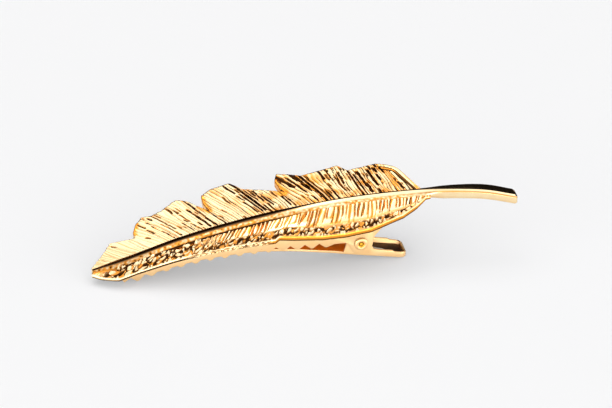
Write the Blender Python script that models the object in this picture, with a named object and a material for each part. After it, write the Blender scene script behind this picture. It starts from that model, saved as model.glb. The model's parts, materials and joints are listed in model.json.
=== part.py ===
"""Feather hair clip: a cast feather soldered on a stamped, sprung alligator clip.

Lengths are in millimetres: x along the feather from its tip, y across it with the far
side positive, z up from the table. Meshes are turned to metres as they are made, and
one empty carries every piece, so that the middle of the clip's base is the origin.
"""

import bpy
import bmesh
import numpy as np
from math import acos, atan2, ceil, cos, hypot, pi, radians, sin, tan

MM = 0.001

# Feather: one casting, with a vane on each side of its rachis and a bare quill behind.
FEATHER_LENGTH = 88.0
VANE_LENGTH = 67.8
RACHIS_HEIGHTS = ((0.0, 2.6), (7.0, 4.5), (18.0, 7.9), (34.0, 11.4), (50.0, 13.8), (66.0, 14.7),
                  (76.0, 14.8), (82.0, 14.4), (88.0, 13.1))
RACHIS_OFFSETS = ((0.0, -1.2), (34.0, -0.6), (50.0, -0.5), (66.0, -0.7), (76.0, -1.2), (88.0, -2.4))
VANE_THICKNESSES = ((0.0, 0.8), (15.0, 0.9), (40.0, 1.2))
BARB_PITCH = 1.1
BARB_RELIEF = 0.17
# Angle between a barb's root and the square across the rachis, by where it leaves the rachis.
BARB_SWEEPS = ((0.0, 58.0), (10.0, 49.0), (18.0, 37.0), (28.0, 31.5), (38.0, 29.0), (46.0, 25.0),
               (52.0, 19.0), (58.0, 14.0), (67.8, 18.0))
# How much the far barbs bend on to the feather's tip: most in front of a lobe, least behind.
BARB_CURLS = ((0.0, 0.45), (13.4, 0.1), (15.0, 0.45), (25.0, 0.1), (27.4, 0.0), (29.4, 0.3),
              (42.6, -0.15), (44.6, 0.35), (55.2, -0.15), (58.4, 0.0))
CURL_SPAN = 20.0

# Reach of the barbs from the rachis, by where they leave it: one row of points for each lobe.
FAR_LOBES = (
    ((0.0, 0.35), (5.7, 2.8), (8.1, 4.0), (10.5, 5.5), (12.0, 5.2), (13.9, 4.8)),
    ((14.9, 5.9), (16.9, 7.8), (19.2, 9.5), (20.5, 9.1), (22.3, 9.5), (26.1, 11.4), (27.2, 10.2)),
    ((28.9, 5.9), (30.0, 8.6), (31.5, 10.8), (34.2, 12.3), (37.5, 13.0), (38.1, 10.2), (42.6, 7.1)),
    ((44.0, 6.1), (45.6, 10.2), (47.2, 12.4), (49.5, 10.2), (52.8, 10.8), (55.1, 11.4)),
    ((56.7, 9.4), (63.8, 10.5), (65.8, 9.9), (67.2, 9.1), (67.8, 8.2)),
)
NEAR_LOBES = (
    ((0.0, 0.35), (4.6, 2.1), (9.8, 3.9), (13.0, 3.9), (18.5, 4.5), (36.1, 6.0), (40.3, 6.4)),
    ((40.9, 5.8), (44.0, 6.6), (49.4, 7.7), (53.8, 7.9), (58.2, 7.6), (65.0, 5.3), (67.8, 3.4)),
)
# How steeply each vane leaves the rachis: the far one rises, the near one falls.
FAR_SLOPES = ((0.0, 0.42), (10.0, 0.36), (30.0, 0.22), (70.0, 0.20))
NEAR_SLOPES = ((0.0, 0.42), (8.0, 0.34), (16.0, 0.26), (30.0, 0.30), (50.0, 0.44), (70.0, 0.42))

# The rachis stands over the vanes: a narrow flat on top and a rounded band on the near side.
# Each pair is a distance from its middle and a drop below its top.
RIDGE_HALF = 0.2
FAR_FOOT = (0.55, 0.38)
BAND_TOP = (0.5, 0.2)
BAND_FOOT = (1.5, 0.6)
NEAR_FOOT = (1.7, 0.82)
RACHIS_TIP_SHARE = 0.5
RACHIS_GROWTH = 34.0

# Quill: its half width along its length, and its depth, flat top and roll to the near side.
QUILL_HALF_WIDTHS = ((0.0, 0.8), (0.2, 1.0), (0.5, 1.45), (0.8, 1.65), (1.0, 1.55))
QUILL_DEPTH = 2.3
QUILL_ROLL = 8.0
QUILL_END_ROUND = 0.3

# Clip: two jaws of folded sheet, hinged on a rivet.
SHEET = 0.55
HINGE_X = 55.2
HINGE_Z = 4.7

# Upper jaw: a channel under the feather with teeth along both lower edges.
UPPER_FRONT = 6.0
UPPER_HALF_FRONT = 2.8
UPPER_HALF = 3.6
UPPER_TAPER_END = 44.0
BEND_RADIUS = 0.5
SEAT_GAP_FRONT = 0.35
SEAT_GAP_REAR = 1.0
NOSE_RISE = 0.5
NOSE_LENGTH = 0.4
TOOTH_PITCH = 2.98
TOOTH_DEPTH = 0.95
TOOTH_FLAT = 0.5
TOOTH_START = 7.7
TOOTH_LINE = ((0.0, 0.0), (0.06, 0.15), (0.12, 1.05), (0.28, 2.95), (0.54, 4.35), (0.73, 4.6), (1.0, 4.55))
MOUTH_REACH = 5.6
MOUTH_EDGE = 5.2
EAR_RADIUS = 2.45
EAR_LEAD = 0.6
TAIL_REACH = 7.6
TAIL_HALF = 2.3
TAIL_NECK = ((0.02, 0.16), (0.1, 0.29), (0.37, 0.52), (0.69, 0.69), (0.92, 0.91), (1.0, 0.93))

# Lower jaw: an arched strip between the teeth, two ears at the rivet and a thumb lever behind.
SIDE_CLEARANCE = 0.15
STRIP_INSET = 0.35
LOWER_FRONT = 7.3
STRIP_NOSE = ((0.0, 0.9), (0.25, 0.4), (0.7, 0.0))
STRIP_LINE = ((0.0, 0.6), (0.11, 1.1), (0.29, 2.95), (0.47, 3.95), (0.61, 4.25), (0.75, 3.85))
STRIP_START = 2.0
STRIP_RINGS = 18
STRIP_SHOULDER = 1.5
SHOULDER_RING_SHARE = 0.6
LEVER_REACH = 10.0
LEVER_LEAD = 4.0
LEVER_RISE = 9.3
LEVER_SIDE = 1.0
LEVER_RIM = 0.7
LEVER_RIM_LENGTH = 3.0
LEVER_CORNER = 1.6
CORNER_ANGLES = (15.0, 30.0)
LOWER_EAR_LEAD = 3.5
LOWER_EAR_RADIUS = 1.85
# The ear's front edge as distances and heights over the plate, and the neck behind the ear as
# distances and shares of the lever's side.
EAR_TOE = ((0.0, 0.0), (0.15, 0.5))
LEVER_NECK = ((0.95, 1.12), (2.35, 1.0))
# The ear's shoulder and heel, each as a distance from its ends and a height over the rivet.
EAR_SHOULDER = (0.6, 0.1)
EAR_HEEL = (0.25, -0.3)
RIM_STEP = (-0.2, 0.3)
RIM_GAP = 0.05
RIM_SHARES = (0.0, 0.6, 0.9)
RIM_DISH = 0.02
PLATE_CHAMFER = 0.12
TRAY_FILLET = 0.15

# Rivet: a shank with one formed head at each side, its profile in shares of height and radius.
RIVET_RADIUS = 0.72
RIVET_CLEARANCE = 0.07
RIVET_HEAD_RADIUS = 1.4
RIVET_HEAD_HEIGHT = 0.42
RIVET_HEAD_PROFILE = ((0.0, 0.93), (0.29, 1.0), (0.55, 0.97), (0.75, 0.84), (0.6, 0.68),
                      (0.45, 0.6), (0.8, 0.5), (1.0, 0.28))
HEAD_GAP = 0.05

# Spring: round wire wound on the rivet between the lower jaw's ears, a leg on each jaw.
SPRING_WIRE = 0.6
SPRING_BORE_GAP = 0.38
SPRING_END_GAP = 0.25
SPRING_TURNS = 3
SPRING_LEVER_LEG = 6.6
SPRING_TAIL_LEG = 5.2
SPRING_SEAT_GAP = 0.1
POINTS_PER_TURN = 16

# Solder: one joint near each end of the upper jaw's back, by start, end and half width.
SOLDER_SPANS = (("solder_front", 12.0, 20.0, 1.7), ("solder_rear", 44.0, 57.0, 2.6))
SOLDER_GAP = 0.05
SOLDER_END_SHARE = 0.35
SOLDER_TOP_SHARE = 0.92

# Places along the clip that follow from the sizes above.
UPPER_TAIL = HINGE_X + TAIL_REACH
EAR_REAR = HINGE_X + EAR_RADIUS
LOWER_END = HINGE_X + LEVER_REACH
LEVER_START = HINGE_X - LEVER_LEAD
LOWER_EAR_FRONT = HINGE_X - LOWER_EAR_LEAD
SPRING_MEAN_RADIUS = RIVET_RADIUS + SPRING_BORE_GAP + 0.5 * SPRING_WIRE


def curve_through(points):
    """Return a smooth function of x through the points, straight beyond its two ends."""
    xs = np.array([p[0] for p in points], dtype=float)
    zs = np.array([p[1] for p in points], dtype=float)
    steps = np.diff(xs)
    slopes = np.diff(zs) / steps
    tangents = np.empty(len(xs))
    tangents[0] = slopes[0]
    tangents[-1] = slopes[-1]
    tangents[1:-1] = (slopes[:-1] * steps[1:] + slopes[1:] * steps[:-1]) / (steps[1:] + steps[:-1])

    def value(x):
        if x <= xs[0]:
            return float(zs[0] + tangents[0] * (x - xs[0]))
        if x >= xs[-1]:
            return float(zs[-1] + tangents[-1] * (x - xs[-1]))
        i = int(np.searchsorted(xs, x, side="right")) - 1
        t = (x - xs[i]) / steps[i]
        return float(
            zs[i] * (1 + 2 * t) * (1 - t) ** 2
            + steps[i] * tangents[i] * t * (1 - t) ** 2
            + zs[i + 1] * t * t * (3 - 2 * t)
            - steps[i] * tangents[i + 1] * t * t * (1 - t)
        )

    return value


def straight_through(points):
    """Return a function of x that runs straight from point to point."""
    xs = [p[0] for p in points]
    zs = [p[1] for p in points]

    def value(x):
        return float(np.interp(x, xs, zs))

    return value


def stretched(profile, start, end):
    """Spread a profile, whose first values are shares of a length, from start to end."""
    return [(start + share * (end - start), value) for share, value in profile]


barb_sweep = curve_through(BARB_SWEEPS)
barb_curl = straight_through(BARB_CURLS)
rachis_height = curve_through(RACHIS_HEIGHTS)
rachis_offset = curve_through(RACHIS_OFFSETS)
far_slope = straight_through(FAR_SLOPES)
near_slope = straight_through(NEAR_SLOPES)
far_reach = straight_through([point for lobe in FAR_LOBES for point in lobe])
near_reach = straight_through([point for lobe in NEAR_LOBES for point in lobe])
vane_thickness = straight_through(VANE_THICKNESSES)
quill_half = curve_through(stretched(QUILL_HALF_WIDTHS, VANE_LENGTH, FEATHER_LENGTH))
tooth_line = curve_through(stretched(TOOTH_LINE, UPPER_FRONT, HINGE_X))


def lever_line(x):
    """Underside of the thumb lever: one straight slope down to its end on the table."""
    return (LOWER_END - x) * tan(radians(LEVER_RISE))


strip_line = curve_through(stretched(STRIP_LINE, LOWER_FRONT, LEVER_START)
                           + [(LEVER_START, lever_line(LEVER_START))])


def lower_line(x):
    """Underside of the lower jaw: an arch between the teeth, then the lever's straight slope."""
    return lever_line(x) if x > LEVER_START else strip_line(x)


def metal(name, color, roughness):
    """Make a metal material in the given linear colour."""
    material = bpy.data.materials.new(name)
    material.use_nodes = True
    shader = material.node_tree.nodes["Principled BSDF"]
    shader.inputs["Base Color"].default_value = (*color, 1.0)
    shader.inputs["Metallic"].default_value = 1.0
    shader.inputs["Roughness"].default_value = roughness
    return material


def in_metres(point):
    """Turn a point in millimetres to metres."""
    return [c * MM for c in point]


def link_part(name, data, material, frame, origin):
    """Put a mesh or curve in the scene as one named part, carried by the empty."""
    data.materials.append(material)
    part = bpy.data.objects.new(name, data)
    part.parent = frame
    part.location = in_metres(origin)
    bpy.context.scene.collection.objects.link(part)
    return part


def loft(name, rings, material, frame, origin=(0.0, 0.0, 0.0), sharp_angle=35.0):
    """Skin rings of points into one closed part, with a flat face over each end."""
    bm = bmesh.new()
    rows = []
    for ring in rings:
        rows.append([bm.verts.new(in_metres(np.subtract(point, origin))) for point in ring])
    count = len(rows[0])
    for row, following in zip(rows, rows[1:]):
        for i in range(count):
            j = (i + 1) % count
            bm.faces.new((row[i], row[j], following[j], following[i]))
    bm.faces.new(list(reversed(rows[0])))
    bm.faces.new(rows[-1])
    bmesh.ops.recalc_face_normals(bm, faces=bm.faces)
    mesh = bpy.data.meshes.new(name)
    bm.to_mesh(mesh)
    bm.free()
    mesh.shade_smooth()
    mesh.set_sharp_from_angle(angle=radians(sharp_angle))
    return link_part(name, mesh, material, frame, origin)


def rachis_scale(x):
    """The rachis is slighter at the tip and grows to its full section."""
    grown = min(1.0, max(x, 0.0) / RACHIS_GROWTH)
    return RACHIS_TIP_SHARE + (1.0 - RACHIS_TIP_SHARE) * grown


def barb_place(station, across):
    """Where a barb lies along the feather at a distance across it: swept, and bent on the far side."""
    bend = barb_curl(station) * max(across, 0.0) ** 2 / CURL_SPAN
    return max(station - abs(across) * tan(radians(barb_sweep(station))) - bend, 0.0)


def vane_top(x, across):
    """Height of the vane's mean upper face, across counting from the rachis, far side positive."""
    scale = rachis_scale(x)
    if across >= 0.0:
        foot, drop = FAR_FOOT
        return rachis_height(x) - scale * drop + far_slope(x) * (across - scale * foot)
    foot, drop = NEAR_FOOT
    return rachis_height(x) - scale * drop + near_slope(x) * (across + scale * foot)


def feather_underside(x, y):
    """Height of the feather's smooth back over a place on the clip."""
    across = y - rachis_offset(x)
    scale = rachis_scale(x)
    far = FAR_FOOT[0] * scale
    near = -NEAR_FOOT[0] * scale
    if near < across < far:
        share = (across - near) / (far - near)
        level = (1.0 - share) * vane_top(x, near) + share * vane_top(x, far)
        return level - vane_thickness(x)
    return vane_top(x, across) - vane_thickness(x)


# Where a ring's points lie on each vane, as shares of the barb from its foot to its tip.
FAR_STEPS = (1.0, 0.8, 0.58, 0.36, 0.14)
NEAR_STEPS = (0.14, 0.36, 0.58, 0.8, 1.0)
BACK_STEPS = (1.0, 0.5)
LEAST_BARB = 0.1


def barb_section(station, crest):
    """One ring round the feather along a pair of barbs, on their crest or in the groove between."""
    scale = rachis_scale(station)
    relief = BARB_RELIEF * scale * (1.0 if crest else -1.0)
    edge_step = 0.5 * relief
    far_foot = FAR_FOOT[0] * scale
    near_foot = NEAR_FOOT[0] * scale
    far_span = max(far_reach(station) + edge_step - far_foot, LEAST_BARB)
    near_span = max(near_reach(station) + edge_step - near_foot, LEAST_BARB)

    def place(across):
        x = barb_place(station, across)
        return x, rachis_offset(x) + across

    def on_vane(across, lift):
        x, y = place(across)
        return x, y, vane_top(x, across) + lift

    def on_rachis(across, drop):
        x, y = place(across * scale)
        return x, y, rachis_height(x) - drop * scale

    def on_back(across):
        x, y = place(across)
        return x, y, feather_underside(x, y)

    ring = [on_vane(far_foot + share * far_span, relief) for share in FAR_STEPS]
    ring.append(on_rachis(*FAR_FOOT))
    ring.append(on_rachis(RIDGE_HALF, 0.0))
    ring.append(on_rachis(-RIDGE_HALF, 0.0))
    for distance, drop in (BAND_TOP, BAND_FOOT, NEAR_FOOT):
        ring.append(on_rachis(-distance, drop))
    ring += [on_vane(-near_foot - share * near_span, relief) for share in NEAR_STEPS]
    ring += [on_back(-near_foot - share * near_span) for share in BACK_STEPS]
    ring.append(on_back(-near_foot))
    ring.append(on_back(far_foot))
    ring += [on_back(far_foot + share * far_span) for share in reversed(BACK_STEPS)]
    return ring


# The quill's section as shares of its half width and half depth, point for point with a barb ring.
QUILL_SECTION = (
    (1.0, -0.2), (1.0, 0.0), (1.0, 0.2), (1.0, 0.4), (1.0, 0.6),
    (0.97, 0.85), (0.86, 1.0), (-0.86, 1.0), (-0.97, 0.85), (-1.0, 0.66), (-1.0, 0.5),
    (-1.0, 0.35), (-1.0, 0.2), (-1.0, 0.05), (-1.0, -0.1), (-1.0, -0.25),
    (-0.97, -0.5), (-0.85, -0.8), (-0.5, -1.0), (0.5, -1.0), (0.85, -0.8), (0.97, -0.5),
)
QUILL_RINGS = 13
QUILL_START_GAP = 0.5
QUILL_END_SHARE = 0.86


def quill_section(x):
    """One ring round the quill: flat on top, rolled a little to the near side, rounded below."""
    half = quill_half(x)
    roll = radians(QUILL_ROLL)
    y0 = rachis_offset(x)
    z0 = rachis_height(x) - 0.5 * QUILL_DEPTH
    ring = []
    for share_y, share_z in QUILL_SECTION:
        y = share_y * half
        z = share_z * 0.5 * QUILL_DEPTH
        ring.append((x, y0 + y * cos(roll) - z * sin(roll), z0 + y * sin(roll) + z * cos(roll)))
    return ring


def make_feather(material, frame):
    """The casting: barb rings from the tip to the last barb, then rings along the quill."""
    count = 2 * round(VANE_LENGTH / BARB_PITCH)
    stations = np.linspace(0.0, VANE_LENGTH, count + 1)
    rings = [barb_section(station, i % 2 == 1) for i, station in enumerate(stations)]
    bare_start = VANE_LENGTH + QUILL_START_GAP
    for x in np.linspace(bare_start, FEATHER_LENGTH - QUILL_END_ROUND, QUILL_RINGS):
        rings.append(quill_section(x))
    end = np.array(quill_section(FEATHER_LENGTH))
    centre = end.mean(axis=0)
    rings.append(centre + QUILL_END_SHARE * (end - centre))
    return loft("feather", rings, material, frame, sharp_angle=50.0)


def channel_half(x):
    """Half the upper jaw's outer width from its nose to the ears."""
    return float(np.interp(x, (UPPER_FRONT, UPPER_TAPER_END), (UPPER_HALF_FRONT, UPPER_HALF)))


def upper_half(x):
    """Half the upper jaw's outer width, drawn in again along its tail."""
    return channel_half(x) - float(np.interp(x, (EAR_REAR, UPPER_TAIL), (0.0, UPPER_HALF - TAIL_HALF)))


def back_height(x):
    """Top of the upper jaw's back, which follows the feather's underside at its near edge."""
    gap = float(np.interp(x, (UPPER_FRONT, HINGE_X), (SEAT_GAP_FRONT, SEAT_GAP_REAR)))
    return feather_underside(x, -channel_half(x)) - gap


def jaw_edge():
    """The lower edge of the upper jaw's sides as points in x and z: nose, teeth, mouth, ear, tail."""
    edge = [(UPPER_FRONT, tooth_line(UPPER_FRONT) + NOSE_RISE)]
    edge.append((UPPER_FRONT + NOSE_LENGTH, tooth_line(UPPER_FRONT + NOSE_LENGTH)))
    mouth_start = HINGE_X - MOUTH_REACH
    tooth_count = int((mouth_start - TOOTH_START) / TOOTH_PITCH)
    for i in range(tooth_count):
        root = TOOTH_START + i * TOOTH_PITCH
        middle = root + 0.5 * TOOTH_PITCH
        edge.append((root, tooth_line(root) + TOOTH_DEPTH))
        for x in (middle - 0.5 * TOOTH_FLAT, middle + 0.5 * TOOTH_FLAT):
            edge.append((x, tooth_line(x)))
    edge.append((mouth_start, MOUTH_EDGE))
    edge.append((HINGE_X - EAR_RADIUS - EAR_LEAD, MOUTH_EDGE))
    for degrees in range(190, 351, 20):
        angle = radians(degrees)
        edge.append((HINGE_X + EAR_RADIUS * cos(angle), HINGE_Z + EAR_RADIUS * sin(angle)))
    tail_depth = back_height(UPPER_TAIL) - SHEET - HINGE_Z
    for x, share in stretched(TAIL_NECK, EAR_REAR, UPPER_TAIL):
        edge.append((x, HINGE_Z + share * tail_depth))
    return edge


def channel_section(x, edge_z):
    """One ring round the folded channel: outer side, rounded back, other side, then the inside."""
    half = upper_half(x)
    top = back_height(x)
    under = top - SHEET
    cut = BEND_RADIUS * (1.0 - cos(pi / 4))
    inner = 0.5 * BEND_RADIUS
    outer_arc = [(half, top - BEND_RADIUS), (half - cut, top - cut), (half - BEND_RADIUS, top)]
    left = [(-half, edge_z)] + [(-y, z) for y, z in outer_arc]
    right = [(y, z) for y, z in reversed(outer_arc)] + [(half, edge_z)]
    inside = half - SHEET
    lining = [(inside, edge_z), (inside, under - inner), (inside - inner, under)]
    section = left + right + lining + [(-y, z) for y, z in reversed(lining)]
    return [(x, y, z) for y, z in section]


def drill_rivet_hole(part, name, frame):
    """Cut the rivet's running hole along Y through both sides of a jaw."""
    bpy.ops.mesh.primitive_cylinder_add(
        vertices=32,
        radius=(RIVET_RADIUS + RIVET_CLEARANCE) * MM,
        depth=4.0 * UPPER_HALF * MM,
        location=in_metres((HINGE_X, 0.0, HINGE_Z)),
        rotation=(0.5 * pi, 0.0, 0.0),
    )
    cutter = bpy.context.object
    cutter.name = name
    cutter.parent = frame
    cutter.hide_render = True
    cutter.display_type = "WIRE"
    cut = part.modifiers.new(name, "BOOLEAN")
    cut.operation = "DIFFERENCE"
    cut.solver = "EXACT"
    cut.object = cutter


def make_upper_jaw(material, frame):
    """The channel under the feather: toothed sides, round ears at the hinge, a short tail."""
    jaw = loft("upper_jaw", [channel_section(x, z) for x, z in jaw_edge()], material, frame)
    drill_rivet_hole(jaw, "upper_rivet_hole", frame)
    return jaw


def lower_half(x):
    """Half the lower jaw's width: a strip between the teeth, then ears and lever at full width."""
    full = UPPER_HALF - SHEET - SIDE_CLEARANCE
    strip = min(channel_half(x) - SHEET - STRIP_INSET, full)
    half = float(np.interp(x, (LOWER_EAR_FRONT - STRIP_SHOULDER, LOWER_EAR_FRONT), (strip, full)))
    rounding = LOWER_END - LEVER_CORNER
    if x > rounding:
        reach = (x - rounding) / LEVER_CORNER
        half -= LEVER_CORNER * (1.0 - max(0.0, 1.0 - reach * reach) ** 0.5)
    return half


def side_heights():
    """The top of the lower jaw's sides over its plate, as points in x and height."""

    def over_plate(x, z):
        return x, z - lower_line(x) - SHEET

    points = [(LOWER_EAR_FRONT + distance, height) for distance, height in EAR_TOE]
    points.append(over_plate(LOWER_EAR_FRONT + EAR_SHOULDER[0], HINGE_Z + EAR_SHOULDER[1]))
    for degrees in range(150, 29, -20):
        angle = radians(degrees)
        reach = LOWER_EAR_RADIUS * cos(angle)
        points.append(over_plate(HINGE_X + reach, HINGE_Z + LOWER_EAR_RADIUS * sin(angle)))
    rear = HINGE_X + LOWER_EAR_RADIUS
    points.append(over_plate(rear + EAR_HEEL[0], HINGE_Z + EAR_HEEL[1]))
    points += [(rear + distance, share * LEVER_SIDE) for distance, share in LEVER_NECK]
    step = LOWER_END - LEVER_RIM_LENGTH
    points.append((step + RIM_STEP[0], LEVER_SIDE))
    points.append((step + RIM_STEP[1], LEVER_RIM))
    points.append((LOWER_END, LEVER_RIM))
    return points


def tray_section(x, side, floor_lift=0.0, narrowing=0.0):
    """One ring round the lower jaw: plate below, a side rising from each edge of it."""
    half = lower_half(x) - narrowing
    base = lower_line(x)
    floor = base + SHEET + floor_lift
    top = base + SHEET + side
    inside = half - SHEET
    right = [(half - PLATE_CHAMFER, base), (half, base + PLATE_CHAMFER), (half, top)]
    right += [(inside, top), (inside - TRAY_FILLET, floor)]
    section = right + [(-y, z) for y, z in reversed(right)]
    return [(x, y, z) for y, z in section]


def make_lower_jaw(material, frame):
    """The strip between the teeth, the inner ears and the thumb lever with its raised rim."""
    heights = side_heights()
    side = straight_through(heights)
    rim_start = LOWER_END - SHEET
    corner_start = LOWER_END - LEVER_CORNER
    rings = []
    for distance, narrowing in STRIP_NOSE:
        rings.append(tray_section(LOWER_FRONT + distance, 0.0, narrowing=narrowing))
    strip = np.linspace(LOWER_FRONT + STRIP_START, LOWER_EAR_FRONT - STRIP_SHOULDER, STRIP_RINGS)
    corner = corner_start + LEVER_CORNER * np.sin(np.radians(CORNER_ANGLES))
    stations = [*strip, LOWER_EAR_FRONT - SHOULDER_RING_SHARE * STRIP_SHOULDER]
    stations += [*[x for x, _ in heights], corner_start, *corner]
    for x in sorted(set(stations)):
        if x < rim_start - 2.0 * RIM_GAP:
            rings.append(tray_section(x, side(x)))
    rings.append(tray_section(rim_start - RIM_GAP, side(rim_start)))
    for share in RIM_SHARES:
        x = rim_start + share * SHEET
        rings.append(tray_section(x, side(x), floor_lift=side(x) - RIM_DISH))
    jaw = loft("lower_jaw", rings, material, frame, origin=(HINGE_X, 0.0, HINGE_Z))
    drill_rivet_hole(jaw, "lower_rivet_hole", frame)
    return jaw


def make_rivet(material, frame):
    """The hinge rivet, turned: a shank with a rolled rim and a domed centre at each end."""
    seat = UPPER_HALF + HEAD_GAP
    half = [(seat, RIVET_RADIUS)]
    for height, radius in RIVET_HEAD_PROFILE:
        half.append((seat + height * RIVET_HEAD_HEIGHT, radius * RIVET_HEAD_RADIUS))
    angles = np.linspace(0.0, 2.0 * pi, 32, endpoint=False)
    rings = []
    for y, radius in [(-y, radius) for y, radius in reversed(half)] + half:
        rings.append([(HINGE_X + radius * cos(a), y, HINGE_Z + radius * sin(a)) for a in angles])
    return loft("hinge_rivet", rings, material, frame, sharp_angle=50.0)


def spring_path():
    """Centre line of the torsion spring: lower leg, turns round the rivet, upper leg."""
    radius = SPRING_MEAN_RADIUS
    seat = 0.5 * SPRING_WIRE + SPRING_SEAT_GAP
    lever_x = HINGE_X + SPRING_LEVER_LEG
    lever_z = lower_line(lever_x) + SHEET + seat
    tail_x = HINGE_X + SPRING_TAIL_LEG
    tail_z = back_height(tail_x) - SHEET - seat

    def leave(x, z, side):
        """Angle at which a straight leg to a point leaves the coil."""
        dx = x - HINGE_X
        dz = z - HINGE_Z
        return atan2(dz, dx) + side * acos(radius / hypot(dx, dz))

    start = leave(lever_x, lever_z, -1.0)
    sweep = leave(tail_x, tail_z, 1.0) - start - 2.0 * pi * (SPRING_TURNS + 1)
    room = 2.0 * (lower_half(HINGE_X) - SHEET)
    length = room - SPRING_WIRE - 2.0 * SPRING_END_GAP
    count = ceil(abs(sweep) / (2.0 * pi) * POINTS_PER_TURN)
    coil = []
    for share in np.linspace(0.0, 1.0, count + 1):
        angle = start + share * sweep
        y = (share - 0.5) * length
        coil.append((HINGE_X + radius * cos(angle), y, HINGE_Z + radius * sin(angle)))
    return [(lever_x, coil[0][1], lever_z)] + coil + [(tail_x, coil[-1][1], tail_z)]


def least_gap(points, wire):
    """Clear distance between parts of a wire that lie more than half a turn apart on it."""
    cloud = np.array(points)
    apart = np.linalg.norm(cloud[:, None, :] - cloud[None, :, :], axis=2)
    index = np.arange(len(cloud))
    apart[np.abs(index[:, None] - index[None, :]) <= POINTS_PER_TURN // 2] = np.inf
    return float(apart.min()) - wire


def make_spring(material, frame):
    """The torsion spring: one round wire wound on the rivet, pushing the lever off the tail."""
    path = spring_path()
    print("least gap between the spring's turns, mm:", round(least_gap(path, SPRING_WIRE), 3))
    line = bpy.data.curves.new("torsion_spring", "CURVE")
    line.dimensions = "3D"
    line.bevel_depth = 0.5 * SPRING_WIRE * MM
    line.bevel_resolution = 1
    line.use_fill_caps = True
    spline = line.splines.new("POLY")
    spline.points.add(len(path) - 1)
    for point, place in zip(spline.points, path):
        point.co = (*in_metres(place), 1.0)
    return link_part("torsion_spring", line, material, frame, (0.0, 0.0, 0.0))


def make_solder(name, start, end, half, material, frame):
    """A solder joint: flat on the jaw's back, its top run up against the feather's underside."""
    middle = 0.5 * (start + end)
    rings = []
    for share in np.linspace(-1.0, 1.0, 9):
        x = middle + 0.5 * (end - start) * share
        width = half * max(SOLDER_END_SHARE, 1.0 - share * share) ** 0.5
        foot = back_height(x) + SOLDER_GAP
        ring = [(x, y, foot) for y in np.linspace(-width, width, 5)]
        for y in np.linspace(SOLDER_TOP_SHARE * width, -SOLDER_TOP_SHARE * width, 5):
            ring.append((x, y, feather_underside(x, y) - SOLDER_GAP))
        rings.append(ring)
    return loft(name, rings, material, frame, sharp_angle=40.0)


def stand_on_origin(frame, parts):
    """Place the empty so that the middle of the base of the pieces' box is the origin."""
    corners = []
    for part in parts:
        corners += [vertex.co + part.location for vertex in part.data.vertices]
    low = np.min(corners, axis=0)
    high = np.max(corners, axis=0)
    frame.location = (-0.5 * (low[0] + high[0]), -0.5 * (low[1] + high[1]), -low[2])


def main():
    for old in list(bpy.data.objects):
        bpy.data.objects.remove(old, do_unlink=True)

    cast_gold = metal("gold_plated_casting", (0.93, 0.66, 0.30), 0.16)
    sheet_gold = metal("gold_plated_steel", (0.93, 0.66, 0.32), 0.14)
    wire = metal("spring_steel", (0.62, 0.60, 0.58), 0.3)
    tin = metal("tin_solder", (0.66, 0.64, 0.60), 0.4)

    frame = bpy.data.objects.new("clip_frame", None)
    bpy.context.scene.collection.objects.link(frame)
    parts = [make_feather(cast_gold, frame), make_upper_jaw(sheet_gold, frame),
             make_lower_jaw(sheet_gold, frame), make_rivet(sheet_gold, frame)]
    make_spring(wire, frame)
    for name, start, end, half in SOLDER_SPANS:
        parts.append(make_solder(name, start, end, half, tin, frame))
    stand_on_origin(frame, parts)


main()
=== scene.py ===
import json
from math import cos, hypot, pi, radians, sin

import bmesh
import bpy
import numpy as np
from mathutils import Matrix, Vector, noise


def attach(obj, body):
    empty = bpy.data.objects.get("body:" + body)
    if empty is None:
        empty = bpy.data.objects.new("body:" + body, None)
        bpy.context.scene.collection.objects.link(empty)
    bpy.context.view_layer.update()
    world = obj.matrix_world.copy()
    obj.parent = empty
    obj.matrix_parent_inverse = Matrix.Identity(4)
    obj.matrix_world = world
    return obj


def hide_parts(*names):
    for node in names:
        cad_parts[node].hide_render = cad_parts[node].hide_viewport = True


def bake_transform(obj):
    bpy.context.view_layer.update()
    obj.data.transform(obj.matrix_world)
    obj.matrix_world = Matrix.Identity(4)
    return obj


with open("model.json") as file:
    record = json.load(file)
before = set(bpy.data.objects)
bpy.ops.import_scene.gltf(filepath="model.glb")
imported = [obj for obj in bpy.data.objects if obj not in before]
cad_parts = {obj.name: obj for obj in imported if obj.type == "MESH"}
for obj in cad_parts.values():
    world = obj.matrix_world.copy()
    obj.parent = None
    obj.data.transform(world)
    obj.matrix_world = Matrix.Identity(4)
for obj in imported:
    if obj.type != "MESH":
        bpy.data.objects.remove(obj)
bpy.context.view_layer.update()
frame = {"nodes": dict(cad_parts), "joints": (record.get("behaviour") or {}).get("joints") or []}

# Feather casting. One zinc-alloy piece, spun in a rubber mould from a hand-cut master, tumbled
# bright and plated with gold over nickel. Its back is soldered to the upper jaw. Sizes here are in
# millimetres from the feather's tip, with the clip's middle at y = 0 and the table at z = 0.
MM = 0.001
HINGE_X = 55.2
HINGE_Z = 4.7
hinge = Vector(frame["joints"][0]["pos_m"])
tip = hinge - Vector((HINGE_X, 0.0, HINGE_Z)) * MM

FEATHER_LENGTH = 88.0
VANE_LENGTH = 67.8
TAPER_END = 70.4
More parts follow.
